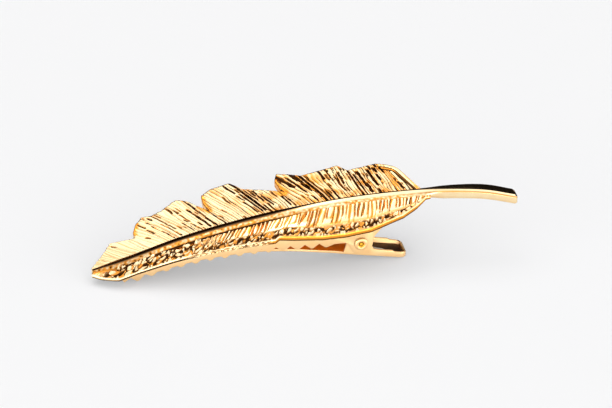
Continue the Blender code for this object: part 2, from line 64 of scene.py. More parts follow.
# Pairs of a place along the feather and a value there: the rachis's height and its offset from the
# clip's middle, the vanes' thickness, the barbs' sweep from square across in degrees, and how much
# the far barbs bend on to the tip, most in front of a lobe and least behind.
RACHIS_HEIGHTS = ((0.0, 2.6), (7.0, 4.5), (18.0, 7.9), (34.0, 11.4), (50.0, 13.8), (66.0, 14.7),
                  (76.0, 14.8), (82.0, 14.4), (88.0, 13.1))
RACHIS_OFFSETS = ((0.0, -1.2), (34.0, -0.6), (50.0, -0.5), (66.0, -0.7), (76.0, -1.2), (88.0, -2.4))
VANE_THICKNESSES = ((0.0, 0.8), (15.0, 0.9), (40.0, 1.2), (66.0, 1.2), (70.4, 0.5))
BARB_SWEEPS = ((0.0, 58.0), (10.0, 49.0), (18.0, 37.0), (28.0, 31.5), (38.0, 29.0), (46.0, 25.0),
               (52.0, 19.0), (58.0, 14.0), (67.8, 18.0))
BARB_CURLS = ((0.0, 0.45), (13.4, 0.1), (15.0, 0.45), (25.0, 0.1), (27.4, 0.0), (29.4, 0.3),
              (42.6, -0.15), (44.6, 0.35), (55.2, -0.15), (58.4, 0.0))
CURL_SPAN = 20.0
# Reach of the barbs from the rachis, by where they leave it: one row for each lobe, and the
# taper on to the quill.
FAR_LOBES = (
    ((0.0, 0.35), (5.7, 2.8), (8.1, 4.0), (10.5, 5.5), (12.0, 5.2), (13.9, 4.8)),
    ((14.9, 5.9), (16.9, 7.8), (19.2, 9.5), (20.5, 9.1), (22.3, 9.5), (26.1, 11.4), (27.2, 10.2)),
    ((28.9, 5.9), (30.0, 8.6), (31.5, 10.8), (34.2, 12.3), (37.5, 13.0), (38.1, 10.2), (42.6, 7.1)),
    ((44.0, 6.1), (45.6, 10.2), (47.2, 12.4), (49.5, 10.2), (52.8, 10.8), (55.1, 11.4)),
    ((56.7, 9.4), (63.8, 10.5), (65.8, 9.9), (67.2, 9.1), (67.8, 8.2), (68.3, 4.2), (68.7, 1.2), (70.4, 0.7)),
)
NEAR_LOBES = (
    ((0.0, 0.35), (4.6, 2.1), (9.8, 3.9), (13.0, 3.9), (18.5, 4.5), (36.1, 6.0), (40.3, 6.4)),
    ((40.9, 5.8), (44.0, 6.6), (49.4, 7.7), (53.8, 7.9), (58.2, 7.6), (65.0, 5.3), (67.8, 3.4), (70.4, 0.9)),
)
# How steeply each vane leaves the rachis, the far one rising and the near one falling, and where
# it starts: the distance from the rachis's middle and the drop below its top.
FAR_SLOPES = ((0.0, 0.42), (10.0, 0.36), (30.0, 0.22), (70.0, 0.20))
NEAR_SLOPES = ((0.0, 0.42), (8.0, 0.34), (16.0, 0.26), (30.0, 0.30), (50.0, 0.44), (70.0, 0.42))
FAR_FOOT = (0.55, 0.38)
NEAR_FOOT = (1.7, 0.82)
# The rachis is slighter at the tip, by this share, and has its full section from here on.
RACHIS_TIP_SHARE = 0.5
RACHIS_GROWTH = 34.0


def curve_through(points):
    """Return a smooth function of x through the points, straight beyond its two ends."""
    xs, zs = np.array(points, dtype=float).T
    steps = np.diff(xs)
    slopes = np.diff(zs) / steps
    middle = (slopes[:-1] * steps[1:] + slopes[1:] * steps[:-1]) / (steps[1:] + steps[:-1])
    tangents = np.concatenate(([slopes[0]], middle, [slopes[-1]]))

    def value(x):
        x = np.asarray(x, dtype=float)
        i = np.clip(np.searchsorted(xs, x, side="right") - 1, 0, len(steps) - 1)
        t = (x - xs[i]) / steps[i]
        inside = (
            zs[i] * (1 + 2 * t) * (1 - t) ** 2
            + steps[i] * tangents[i] * t * (1 - t) ** 2
            + zs[i + 1] * t * t * (3 - 2 * t)
            - steps[i] * tangents[i + 1] * t * t * (1 - t)
        )
        before = zs[0] + tangents[0] * (x - xs[0])
        beyond = zs[-1] + tangents[-1] * (x - xs[-1])
        return np.where(x < xs[0], before, np.where(x > xs[-1], beyond, inside))

    return value


def straight_through(points):
    """Return a function of x that runs straight from point to point."""
    xs, zs = np.array(points, dtype=float).T

    def value(x):
        return np.interp(x, xs, zs)

    return value


def smooth(low, high, value):
    """Rise smoothly from 0 at low to 1 at high."""
    t = np.clip((np.asarray(value, dtype=float) - low) / (high - low), 0.0, 1.0)
    return t * t * (3.0 - 2.0 * t)


def band(start, full, fades, end, value):
    """Rise smoothly from 0 to 1 between start and full, and fall back between fades and end."""
    return smooth(start, full, value) * (1.0 - smooth(fades, end, value))


def groove(offset, half_width, squareness):
    """A groove's section: 1 in its middle, nearly 0 past its half width, and flatter if squarer."""
    return np.exp(-(offset / half_width) ** squareness)


def ripple(u, v, seed):
    """Smooth noise from -1 to 1 over two arrays, with waves about 1 long."""
    u, v = np.broadcast_arrays(u, v)
    flat = [noise.noise((a, b, seed)) for a, b in zip(u.ravel(), v.ravel())]
    return np.array(flat).reshape(u.shape)


def chance(k, seed):
    """One random number from 0 to 1 for each whole number in an array."""
    numbers, places = np.unique(k, return_inverse=True)
    values = np.array([0.5 + 0.5 * noise.cell((float(n) + 0.5, seed, 0.5)) for n in numbers])
    return values[places].reshape(np.shape(k))


def pebbles(u, v, seed):
    """Pebbles about 1 across, over two arrays: 0 in their gaps, most on their crowns."""
    u, v = np.broadcast_arrays(u, v)
    flat = []
    for a, b in zip(u.ravel(), v.ravel()):
        gaps = noise.voronoi((a, b, seed))[0]
        flat.append(gaps[1] - gaps[0])
    return np.array(flat).reshape(u.shape)


rachis_height = curve_through(RACHIS_HEIGHTS)
rachis_offset = curve_through(RACHIS_OFFSETS)
barb_sweep = curve_through(BARB_SWEEPS)
barb_curl = straight_through(BARB_CURLS)
far_slope = straight_through(FAR_SLOPES)
near_slope = straight_through(NEAR_SLOPES)
far_reach = straight_through(sum(FAR_LOBES, ()))
near_reach = straight_through(sum(NEAR_LOBES, ()))
vane_thickness = straight_through(VANE_THICKNESSES)


def rachis_scale(x):
    """Size of the rachis's section at a place along it, as a share of its full size."""
    grown = np.clip(np.asarray(x) / RACHIS_GROWTH, 0.0, 1.0)
    return RACHIS_TIP_SHARE + (1.0 - RACHIS_TIP_SHARE) * grown


def barb_place(station, across):
    """Where a barb lies along the feather at a distance across it: swept, and bent on the far side."""
    bend = barb_curl(station) * np.maximum(across, 0.0) ** 2 / CURL_SPAN
    return np.maximum(station - np.abs(across) * np.tan(np.radians(barb_sweep(station))) - bend, 0.0)


def vane_top(x, across):
    """Height of the vane's mean upper face, across counting from the rachis, far side positive."""
    scale = rachis_scale(x)
    far = rachis_height(x) - scale * FAR_FOOT[1] + far_slope(x) * (across - scale * FAR_FOOT[0])
    near = rachis_height(x) - scale * NEAR_FOOT[1] + near_slope(x) * (across + scale * NEAR_FOOT[0])
    return np.where(across >= 0.0, far, near)


# The vanes are worked out on a grid: one row for each station, the place where a barb leaves the
# rachis, and one column for each share of its length. The columns are denser near the edge.
STATION_STEP = 0.08
FAR_COLUMNS = 58
NEAR_COLUMNS = 40
COLUMN_POWER = 0.9
LEAST_BARB = 0.1
stations = np.linspace(0.0, TAPER_END, round(TAPER_END / STATION_STEP) + 1)


def vane_grid(side, reach, foot, columns):
    """Plan of one vane: station, x, distance across and share of the barb for each point."""
    scale = rachis_scale(stations)[:, None]
    share = np.linspace(0.0, 1.0, columns)[None, :] ** COLUMN_POWER
    ends = reach(stations)[:, None]
    across = side * (foot * scale + share * np.maximum(ends - foot * scale, LEAST_BARB))
    station = np.broadcast_to(stations[:, None], across.shape)
    return station, barb_place(station, across), across, np.broadcast_to(share, across.shape)


def to_outline(x, across):
    """Distance from each point of a vane to its outline, and the station of the nearest place on it."""
    ends = np.stack([x[:, -1], across[:, -1]], axis=1)
    lengths = np.concatenate(([0.0], np.cumsum(np.hypot(*np.diff(ends, axis=0).T))))
    count = int(lengths[-1] / STATION_STEP)
    along = np.linspace(0.0, lengths[-1], count)
    dense_x, dense_across, places = (np.interp(along, lengths, values) for values in (*ends.T, stations))
    flat_x, flat_across = x.ravel(), across.ravel()
    gap = np.full(x.size, np.inf)
    nearest = np.zeros(x.size)
    # The outline is searched in short stretches, because all of it at once would fill the memory.
    for block in np.array_split(np.arange(count), 40):
        apart = np.hypot(flat_x[:, None] - dense_x[block], flat_across[:, None] - dense_across[block])
        best = apart.argmin(axis=1)
        least = apart[np.arange(x.size), best]
        closer = least < gap
        gap = np.where(closer, least, gap)
        nearest = np.where(closer, places[block][best], nearest)
    return gap.reshape(x.shape), nearest.reshape(x.shape)


def rim_drop(gap, radius):
    """How far a rounded rim has fallen at a distance from the outline."""
    inside = np.clip(radius - gap, 0.0, radius)
    return radius - np.sqrt(radius ** 2 - inside ** 2)


# Far vane. Its barbs are cut finely and evenly, each a little crowned and tilted. Some grooves were
# cut deep. These and stretches of the fine grooves are darkened: partly dark finish left in them,
# partly painted shade in the recesses.
FAR_PITCH = 0.66
FAR_EDGE_RADIUS = 0.14
BARB_CROWN = 0.03
BARB_TILT = 0.06
VANE_SWELL = 0.05
FINE_DEPTH = 0.05
DARKENED_DEPTH = 0.13
DEEP_DEPTH = 0.24
OUTLINE_STEP = 0.12
# Each deep groove is its station, where it starts and ends across the vane, and its half width.
DEEP_GROOVES = (
    (4.9, 1.5, 1.8, 0.18), (9.9, 3.9, 4.4, 0.22), (17.3, 6.4, 7.6, 0.15), (17.0, 4.3, 5.6, 0.15),
    (19.5, 7.7, 8.5, 0.18), (18.5, 6.8, 7.4, 0.18), (18.2, 1.5, 6.1, 0.13), (20.3, 3.6, 9.0, 0.13),
    (19.7, 1.5, 5.8, 0.13), (22.4, 1.8, 4.5, 0.11), (23.3, 4.5, 5.2, 0.16), (23.5, 2.0, 3.8, 0.12),
    (23.9, 7.5, 8.7, 0.16), (24.7, 2.6, 3.5, 0.2), (25.7, 1.6, 7.8, 0.2), (26.8, 0.8, 11.4, 0.17),
    (28.5, 1.1, 9.5, 0.15), (31.0, 4.5, 5.2, 0.17), (32.7, 0.9, 1.9, 0.18), (35.8, 2.3, 6.1, 0.13),
    (36.3, 9.4, 12.4, 0.12), (36.1, 6.6, 8.4, 0.14), (36.8, 2.3, 8.7, 0.15), (37.5, 2.3, 12.9, 0.22),
    (38.1, 0.9, 4.0, 0.12), (38.5, 7.0, 8.1, 0.18), (39.0, 5.2, 8.9, 0.13), (39.6, 3.4, 7.3, 0.12),
    (42.4, 2.0, 5.2, 0.14), (43.1, 3.4, 4.0, 0.2), (46.6, 7.0, 12.2, 0.32), (47.4, 4.7, 10.5, 0.2),
    (46.6, 0.9, 3.0, 0.12), (47.6, 1.6, 3.3, 0.15), (48.5, 5.0, 11.8, 0.32), (49.2, 1.1, 10.3, 0.24),
    (50.7, 0.8, 4.6, 0.17), (51.8, 1.3, 5.6, 0.14), (52.1, 7.8, 10.6, 0.15), (53.2, 7.7, 10.7, 0.15),
    (53.8, 3.2, 8.4, 0.13), (54.6, 5.6, 9.2, 0.14), (56.0, 9.6, 11.4, 0.2), (56.7, 1.0, 9.2, 0.18),
    (57.5, 0.8, 7.8, 0.14), (58.5, 3.6, 8.6, 0.26), (58.8, 1.6, 4.6, 0.34), (60.4, 1.0, 2.4, 0.28),
    (60.8, 3.6, 8.8, 0.3), (61.6, 8.8, 9.8, 0.32), (62.4, 7.5, 9.2, 0.32), (62.1, 5.2, 7.0, 0.26),
    (63.1, 9.4, 10.3, 0.36), (63.9, 7.3, 9.3, 0.2), (65.4, 1.9, 3.9, 0.35),
)
# The last lobe's end is rolled over: a valley between two dark lines follows the outline. It starts
# this far in and is this wide, it fades in and out between these stations, and it narrows behind.
FOLD_START = 0.9
FOLD_WIDTH = 0.8
FOLD_STATIONS = (63.6, 64.8, 68.9, 69.4)
FOLD_NARROWS = (66.5, 68.5)
FOLD_LINES = (0.14, 0.24)
FOLD_DEPTH = 0.05
# How likely a fine groove is dark, by its station: least at the front of a lobe, most behind.
DARK_SHARES = ((0.0, 0.04), (14.0, 0.06), (16.0, 0.18), (22.0, 0.24), (27.5, 0.24), (29.0, 0.06),
               (34.0, 0.1), (36.0, 0.55), (41.0, 0.4), (44.5, 0.3), (48.0, 0.5), (56.0, 0.5),
               (60.0, 0.55), (66.0, 0.4), (67.5, 0.0))
# Each lobe's front edge, between these stations, stands up a little and gets a painted warm glow.
LOBE_FRONTS = ((14.2, 17.6), (28.0, 31.8), (43.0, 46.4))
FRONT_RISE = 0.1
dark_share = straight_through(DARK_SHARES)


def deep_cuts(station, across):
    """Depth from 0 to 1 of the deep grooves at each point. They wander, vary in width and run out."""
    depth = np.zeros_like(across)
    wander = 0.1 * ripple(station * 0.9, across * 0.8, 3.1)
    for place, start, end, half in DEEP_GROOVES:
        rows = np.abs(stations - place) < 1.2
        s = station[rows] + wander[rows] - place
        cut = band(start - 0.3, start + 0.15, end - 0.15, end + 0.3, across[rows])
        width = half * (0.95 + 0.45 * ripple(across[rows] * 1.3, 0.0, place))
        depth[rows] = np.maximum(depth[rows], cut * groove(s, width, 4))
    return depth


def stepped_reach(station):
    """Reach of the far vane, less the small steps that its barbs leave in the outline."""
    steps = 1.0 + ripple(station * 1.4, 0.0, 4.9)
    return far_reach(station) - OUTLINE_STEP * steps * smooth(0.0, 2.0, station)


def barb_count(s, across):
    """Barbs counted from the tip at each point: an even pitch with a slow and a quick wander."""
    slow = 0.9 * ripple(s * 0.45, across * 0.2, 2.1)
    quick = 0.25 * ripple(s * 1.3, across * 0.7, 6.3)
    return s / FAR_PITCH + slow + quick


def darkened_stretches(s, across, k):
    """Where the fine grooves are darkened, from 0 to 1: partly dark finish, partly painted shade. In
    stretches, shorter at the last lobe.
    """
    run = ripple(k * 3.7, across * np.where(s > 56.0, 0.75, 0.42), 7.9)
    return smooth(0.0, 0.12, run - 1.0 + 1.15 * dark_share(s) + 0.6 * chance(k, 1.7))


def rolled_end(s, gap, nearest):
    """The last lobe's fold: its strength at each point, its inner line's distance in, and both lines."""
    fold = band(*FOLD_STATIONS, nearest) * (s > 60.0)
    inner = FOLD_START + FOLD_WIDTH * (1.0 - 0.55 * smooth(*FOLD_NARROWS, nearest))
    lines = groove(gap - FOLD_START, FOLD_LINES[0], 4) + groove(gap - inner, FOLD_LINES[1], 4)
    return fold, inner, np.clip(fold * lines, 0.0, 1.0)


def lobe_fronts(nearest):
    """1 where the nearest outline is a lobe's front, and 0 elsewhere."""
    front = np.zeros_like(nearest)
    for start, end in LOBE_FRONTS:
        front = np.maximum(front, (nearest > start) * (nearest < end))
    return front


def far_vane():
    """Upper face of the far vane: its place, and its darkness and warmth, partly the plating's own and partly
    painted shade and glow.
    """
    s, x, across, _ = vane_grid(1.0, stepped_reach, FAR_FOOT[0], FAR_COLUMNS)
    gap, nearest = to_outline(x, across)
    count = barb_count(s, across)
    barb = np.floor(count)
    middle = count - barb - 0.5
    k = np.round(count)
    beside = count - k
    fold, inner, lines = rolled_end(s, gap, nearest)
    front = lobe_fronts(nearest)
    deep = deep_cuts(s, across)
    darkened = darkened_stretches(s, across, k)
    fine = groove(beside, 0.1 + 0.15 * chance(k, 5.9), 2)
    fine *= 1.0 - fold * (1.0 - smooth(inner, inner + 0.2, gap))
    dark = fine * darkened

    crown = BARB_CROWN * (1.0 - 4.0 * middle ** 2)
    tilt = BARB_TILT * (4.0 * chance(barb, 8.7) - 3.0) * middle
    swell = VANE_SWELL * ripple(s * 0.5, across * 0.35, 5.5)
    lift = (crown + tilt) * (1.0 - fold * (gap < inner)) + swell
    inward = smooth(0.08, 0.4, gap)
    z = vane_top(x, across) - rim_drop(gap, FAR_EDGE_RADIUS) - FOLD_DEPTH * lines
    z += inward * (lift - FINE_DEPTH * fine - DARKENED_DEPTH * dark - DEEP_DEPTH * deep)
    z += FRONT_RISE * front * (1.0 - smooth(0.1, 0.8, gap))

    # Warmer colour beside grooves, on lobe fronts and in the fold is painted glow of light bouncing in
    # the gold; in clouds it is the plating's own uneven tone.
    behind = smooth(30.0, 46.0, s)
    warm_share = groove(beside, 0.2 + 0.1 * behind, 2) * (0.55 + 0.45 * behind) * chance(k, 4.4) ** 1.2
    groove_warmth = 0.8 * darkened * groove(beside, 0.36, 2) + smooth(0.02, 0.3, deep)
    edge = 0.9 * front * (1.0 - smooth(0.3, 1.1, gap))
    valley = fold * (gap > FOLD_START) * (gap < inner)
    clouded = 0.5 * smooth(30.0, 38.0, s) * smooth(0.0, 0.4, ripple(s * 0.5, across * 0.4, 9.7))
    warm_tone_and_glow = np.clip(warm_share + groove_warmth + edge + valley + clouded, 0.0, 1.0)
    antique_and_shade = np.maximum(np.maximum(0.85 * inward * dark, smooth(0.25, 0.6, deep)), lines)
    return x, across, z, antique_and_shade, warm_tone_and_glow


# Near vane. Short upright strokes beside the rachis, then a pebbled strip with dark pits, then a
# plain rounded rim. Towards the tip the pebbles are larger and cover all of it. Stones are given
# by their size along and across the vane.
NEAR_PITCH = 0.84
NEAR_EDGE_RADIUS = 0.34
STROKES_START = (22.0, 30.0)
LARGE_STONES = (1.25, 1.1)
SMALL_STONES = (0.95, 0.9)
STROKE_RELIEF = 0.3
STONE_RELIEF = 0.3
KNOB_RELIEF = 0.22
# The second near lobe starts at this station. Its rim turns under, and there it is painted deep gold
# as a warm reflected glow.
SECOND_LOBE = 40.3


def knobbly_edge(station):
    """Where the pebbles run over the near edge: 1 on the first lobe's rear half, and 0 elsewhere."""
    return band(21.0, 25.0, 38.0, 40.0, station)


def upright_strokes(s, share):
    """The strokes beside the rachis: their numbers, their crowns, and how far each point is on one."""
    count = s / NEAR_PITCH + 0.7 * ripple(s * 0.9, share * 1.2, 5.2)
    k = np.floor(count)
    reach = 0.36 + 0.34 * chance(k, 6.6)
    struck = smooth(*STROKES_START, s) * (1.0 - smooth(reach - 0.07, reach + 0.03, share))
    return k, np.abs(np.sin(pi * count)), struck


def stone_heights(s, x, across, towards_tip):
    """Height of the pebbles, from 0 in their gaps to 1 on their crowns."""
    bend = 0.5 * ripple(s * 0.8, across * 0.8, 4.4)
    large = pebbles(x / LARGE_STONES[0] + bend, across / LARGE_STONES[1] + bend, 2.7)
    small = pebbles(s / SMALL_STONES[0] + bend, across / SMALL_STONES[1] + bend, 9.1)
    return smooth(0.04, 0.42, towards_tip * large + (1.0 - towards_tip) * small)


def near_vane():
    """Upper face of the near vane: its place, and its darkness and warmth, partly the plating's own and
    partly painted shade and glow.
    """
    s, x, across, share = vane_grid(-1.0, near_reach, NEAR_FOOT[0], NEAR_COLUMNS)
    gap, _ = to_outline(x, across)
    towards_tip = 1.0 - smooth(*STROKES_START, s)
    k, crown, struck = upright_strokes(s, share)
    stones = stone_heights(s, x, across, towards_tip)
    strip_start = 0.64 - 0.12 * (1.0 - smooth(40.0, 48.0, s))
    rough = np.maximum(towards_tip, smooth(strip_start, strip_start + 0.08, share))
    rough *= smooth(0.0, 0.3 - 0.15 * towards_tip - 0.1 * knobbly_edge(s), gap)

    lift = STROKE_RELIEF * struck * (crown ** 0.8 - 0.7) * (0.1 + 1.2 * chance(k, 2.9))
    lift += rough * (STONE_RELIEF * (stones - 0.6) + KNOB_RELIEF * ripple(s * 1.5, across * 1.3, 6.1))
    z = vane_top(x, across) + smooth(0.0, 0.4, gap) * lift - rim_drop(gap, NEAR_EDGE_RADIUS)

    # Darkness lies in the gaps of the pebbles, in patches, and between some of the strokes: partly dark
    # finish, partly painted shade in these recesses.
    larger = 0.12 * towards_tip
    patch = smooth(-0.3, 0.0, ripple(s * 0.9, across * 1.1, 3.3))
    pits = rough * (1.0 - smooth(0.3 - larger, 0.6 - larger, stones)) * patch * smooth(3.0, 6.0, s)
    between = struck * (1.0 - smooth(0.45, 0.95, crown))
    antique_and_shade = np.maximum(pits, between ** 2 * (0.2 + 0.6 * smooth(0.75, 0.95, chance(k, 9.3))))

    # Warm colour lies round them, in a plain band between strokes and rim, and on the turned rim:
    # painted glow of light bouncing between the pebbles and under the rim. Warmer clouds lie on the strokes.
    orange = 0.9 * rough * (1.0 - smooth(0.5 - larger, 0.8 - 2.0 * larger, stones)) * smooth(2.0, 7.0, s)
    plain = 0.6 * smooth(0.5, 0.6, share) * (1.0 - rough) * smooth(0.4, 0.6, gap)
    clouds = smooth(-0.2, 0.2, ripple(s * 0.7, across * 0.9, 7.7))
    tone = 0.45 * struck * (1.0 - smooth(48.0, 60.0, s)) * clouds
    second = smooth(SECOND_LOBE, SECOND_LOBE + 1.7, s) * (1.0 - 0.6 * smooth(58.0, 64.0, s))
    turned = second * (1.0 - smooth(0.04, 0.16, gap))
    warm_tone_and_glow = np.maximum(0.95 * between, orange) + plain + tone + turned
    return x, across, z, antique_and_shade, np.clip(warm_tone_and_glow, 0.0, 1.0)


def underside(x, across):
    """The casting's smooth back below a place on the vane or the rachis."""
    scale = rachis_scale(x)
    far = FAR_FOOT[0] * scale
    near = -NEAR_FOOT[0] * scale
    share = np.clip((across - near) / (far - near), 0.0, 1.0)
    bridge = (1.0 - share) * vane_top(x, near) + share * vane_top(x, far)
    middle = (across > near) & (across < far)
    return np.where(middle, bridge, vane_top(x, across)) - vane_thickness(x)


# A wall's section from its rim down: how far out it stands, its share of the thickness, and how
# dark and warm it is. The near wall bulges and turns under, and there it is painted: warm glow
# reflected from the clip's side, then a dark line of painted shade at its foot. The far wall is
# painted warmer and a little darker as it turns under.
NEAR_WALL = ((0.03, 0.37, 0.0, 0.9), (0.045, 0.41, 0.0, 1.0), (0.05, 0.52, 0.0, 1.0), (0.05, 0.68, 0.0, 1.0),
             (0.045, 0.72, 0.8, 1.0), (0.03, 0.92, 0.9, 1.0), (-0.06, 0.98, 1.0, 1.0), (-0.3, 1.0, 0.9, 1.0))
FAR_WALL = ((0.0, 0.5, 0.0, 0.6), (-0.04, 0.72, 0.0, 0.9), (-0.16, 0.92, 0.1, 1.0), (-0.35, 1.0, 0.3, 1.0))
# The near rim's dark line of painted shade starts between these shares of the thickness. Near the
# tip it starts higher, by this share, and is of one tone.
DARK_TURN = (0.6, 0.8)
DARK_TURN_RISE = 0.22
DARK_TURN_TONE = 0.95
EDGE_STONE = 0.9
EDGE_STONE_RELIEF = 0.36
BACK_SHARES = (0.85, 0.5, 0.2)
BACK_INSET = 0.4


def wall(top, profile, foot):
    """Columns down a vane's edge and in under it, from its rim to the rachis."""
    x, across = top[0][:, -1], top[1][:, -1]
    side = np.sign(foot)
    high = vane_top(x, across)
    under = underside(x, across)
    glow = 0.2 + 0.8 * smooth(28.0, 40.0, stations)
    raised = band(8.0, 12.0, 22.0, 26.0, stations) * (side < 0.0)
    knobbly = knobbly_edge(stations) * (side < 0.0)
    columns = []
    for out, share, antique_and_shade, warm_tone_and_glow in profile:
        stones = pebbles(stations / EDGE_STONE, 2.4 * share, 5.1)
        place = across + side * (out + EDGE_STONE_RELIEF * knobbly * (smooth(0.0, 0.5, stones) - 0.5))
        lower = share
        if DARK_TURN[0] < share < DARK_TURN[1]:
            lower = share - DARK_TURN_RISE * raised
        dark = np.full_like(x, antique_and_shade)
        if antique_and_shade > 0.5:
            dark += (DARK_TURN_TONE - antique_and_shade) * raised
        # Where pebbles run over the near edge, their gaps get painted shade and painted warm glow.
        dark += knobbly * (0.8 * (1.0 - smooth(0.04, 0.14, stones)) - dark)
        warm = warm_tone_and_glow * glow
        warm += knobbly * (0.6 * (1.0 - smooth(0.1, 0.4, stones)) - warm)
        columns.append((x, place, high + lower * (under - high), dark, warm))
    plain = np.zeros_like(x)
    base = foot * rachis_scale(stations)
    for share in BACK_SHARES:
        place = base + share * (across - side * BACK_INSET - base)
        px = barb_place(stations, place)
        columns.append((px, place, underside(px, place), plain, plain))
    return columns


def grid_faces(rows, count):
    """Faces between neighbouring rings of count points, with a cap over each end."""
    faces = []
    for r in range(rows - 1):
        a = r * count
        b = a + count
        for i in range(count):
            j = (i + 1) % count
            faces.append((a + i, a + j, b + j, b + i))
    faces.append(tuple(reversed(range(count))))
    faces.append(tuple(range((rows - 1) * count, rows * count)))
    return faces


def new_piece(name, data):
    """Put a mesh, a lamp or a camera in the scene as an object."""
    piece = bpy.data.objects.new(name, data)
    bpy.context.scene.collection.objects.link(piece)
    return piece


def new_mesh(name, points, faces, layers=()):
    """Make a smooth mesh object from points in metres, with its faces out and its named layers."""
    mesh = bpy.data.meshes.new(name)
    mesh.from_pydata(points, [], faces)
    for layer, values in layers:
        mesh.attributes.new(layer, "FLOAT", "POINT").data.foreach_set("value", values)
    bm = bmesh.new()
    bm.from_mesh(mesh)
    bmesh.ops.recalc_face_normals(bm, faces=bm.faces)
    bm.to_mesh(mesh)
    bm.free()
    mesh.shade_smooth()
    return new_piece(name, mesh)


def ringed_mesh(name, columns):
    """A casting's closed mesh from columns of x, y, z, darkness and warmth, all along the feather."""
    x, y, z, antique_and_shade, warm_tone_and_glow = (np.stack(values, axis=1) for values in zip(*columns))
    points = np.stack([x, y, z], axis=2).reshape(-1, 3) * MM + np.array(tip)
    layers = (("antique_and_shade", antique_and_shade.ravel()), ("warm_tone_and_glow", warm_tone_and_glow.ravel()))
    return new_mesh(name, points, grid_faces(len(x), len(columns)), layers)


def vanes_mesh():
    """Both vanes and the casting's back as one closed mesh."""
    far = far_vane()
    near = near_vane()
    columns = [tuple(part[:, i] for part in far) for i in reversed(range(FAR_COLUMNS))]
    columns += [tuple(part[:, i] for part in near) for i in range(NEAR_COLUMNS)]
    columns += wall(near, NEAR_WALL, -NEAR_FOOT[0])
    columns += reversed(wall(far, FAR_WALL, FAR_FOOT[0]))
    placed = [(x, across + rachis_offset(x), *rest) for x, across, *rest in columns]
    return ringed_mesh("feather_vanes", placed)


# The rachis and the bare quill behind it are one rod. Its section is given near the tip, near the
# lobes' middle and along the quill, point by point from the far side over the top to the near
# side: distance across, drop below the top, darkness, warmth and knobs. The quill's distances
# are shares of its half width.
# The dark top flat along the rachis and the quill is a painted dark reflection. The dark groove where the
# near vane meets the rod is partly dark finish, partly painted shade, and the warm band above it is painted
# glow.
TIP_SECTION = (
    (1.0, 0.72, 0.0, 0.3, 0.0), (0.94, 0.3, 0.9, 0.5, 0.0), (0.88, 0.05, 0.95, 0.4, 0.0),
    (0.82, 0.0, 0.95, 0.3, 0.0), (0.0, 0.0, 0.95, 0.3, 0.0), (-0.6, 0.0, 0.95, 0.3, 0.0),
    (-0.65, 0.04, 0.5, 0.8, 0.0), (-0.72, 0.1, 0.2, 0.7, 0.4), (-0.88, 0.19, 0.0, 0.6, 1.0),
    (-1.06, 0.29, 0.0, 0.6, 1.0), (-1.26, 0.4, 0.0, 0.6, 1.0), (-1.44, 0.51, 0.1, 0.9, 0.6),
    (-1.5, 0.58, 0.9, 1.0, 0.2), (-1.58, 0.68, 1.0, 1.0, 0.0), (-1.74, 0.72, 1.0, 1.0, 0.0),
    (-1.86, 0.92, 0.9, 0.5, 0.0),
)
MIDDLE_SECTION = (
    (0.62, 0.7, 0.0, 0.3, 0.0), (0.5, 0.3, 0.9, 0.4, 0.0), (0.42, 0.05, 0.95, 0.3, 0.0),
    (0.36, 0.0, 0.95, 0.2, 0.0), (0.1, 0.0, 0.95, 0.2, 0.0), (-0.07, 0.0, 0.95, 0.2, 0.0),
    (-0.11, 0.02, 0.0, 0.0, 0.0), (-0.48, 0.16, 0.0, 0.0, 0.0), (-0.82, 0.29, 0.0, 0.0, 0.0),
    (-0.88, 0.35, 0.0, 0.6, 0.3), (-1.04, 0.44, 0.0, 0.5, 1.0), (-1.22, 0.54, 0.0, 0.5, 1.0),
    (-1.4, 0.64, 0.0, 0.5, 1.0), (-1.54, 0.74, 0.1, 0.8, 0.6), (-1.66, 0.86, 0.4, 1.0, 0.2),
    (-1.78, 1.05, 0.3, 1.0, 0.0),
)
QUILL_SECTION = (
    (1.0, 1.15, 0.0, 0.0, 0.0), (1.0, 0.5, 0.0, 0.0, 0.0), (0.98, 0.2, 0.2, 0.0, 0.0),
    (0.93, 0.05, 0.7, 0.0, 0.0), (0.84, 0.0, 0.8, 0.0, 0.0), (-0.56, 0.0, 0.8, 0.0, 0.0),
    (-0.6, 0.01, 0.0, 0.0, 0.0), (-0.73, 0.09, 0.0, 0.0, 0.0), (-0.86, 0.18, 0.0, 0.0, 0.0),
    (-0.91, 0.28, 0.5, 0.9, 0.0), (-0.94, 0.38, 0.5, 0.9, 0.0), (-0.97, 0.5, 0.0, 0.0, 0.0),
    (-0.99, 0.75, 0.0, 0.0, 0.0), (-1.0, 1.05, 0.0, 0.0, 0.0), (-1.0, 1.35, 0.0, 0.0, 0.0),
    (-0.98, 1.62, 0.0, 0.2, 0.0),
)
# Below, the rod is buried in the casting under the vanes and stands free as the quill.
BURIED_BASE = ((-1.0, 1.0), (-0.5, 1.0), (0.0, 1.0), (0.3, 0.95), (0.5, 0.85))
QUILL_BASE = ((-0.86, 1.95), (-0.55, 2.25), (0.55, 2.25), (0.86, 1.95), (0.98, 1.6))
QUILL_HALF_WIDTHS = ((67.8, 0.8), (71.84, 1.0), (77.9, 1.45), (83.96, 1.65), (88.0, 1.55))
QUILL_DEPTH = 2.3
QUILL_ROLL = 4.0
QUILL_END_ROUND = 0.3
# Where the tip's section passes into the middle's, and where that passes into the quill's.
MIDDLE_FROM = (34.0, 48.0)
QUILL_FROM = (65.0, 73.5)
ROD_STEP = 0.12
KNOB_HEIGHT = 0.16
LOW_ON_ROD = 0.5
quill_half = curve_through(QUILL_HALF_WIDTHS)


def whole_section(upper, base):
    """A section's upper points and then its base, which is plain gold."""
    return upper + tuple((*point, 0.0, 0.0, 0.0) for point in base)


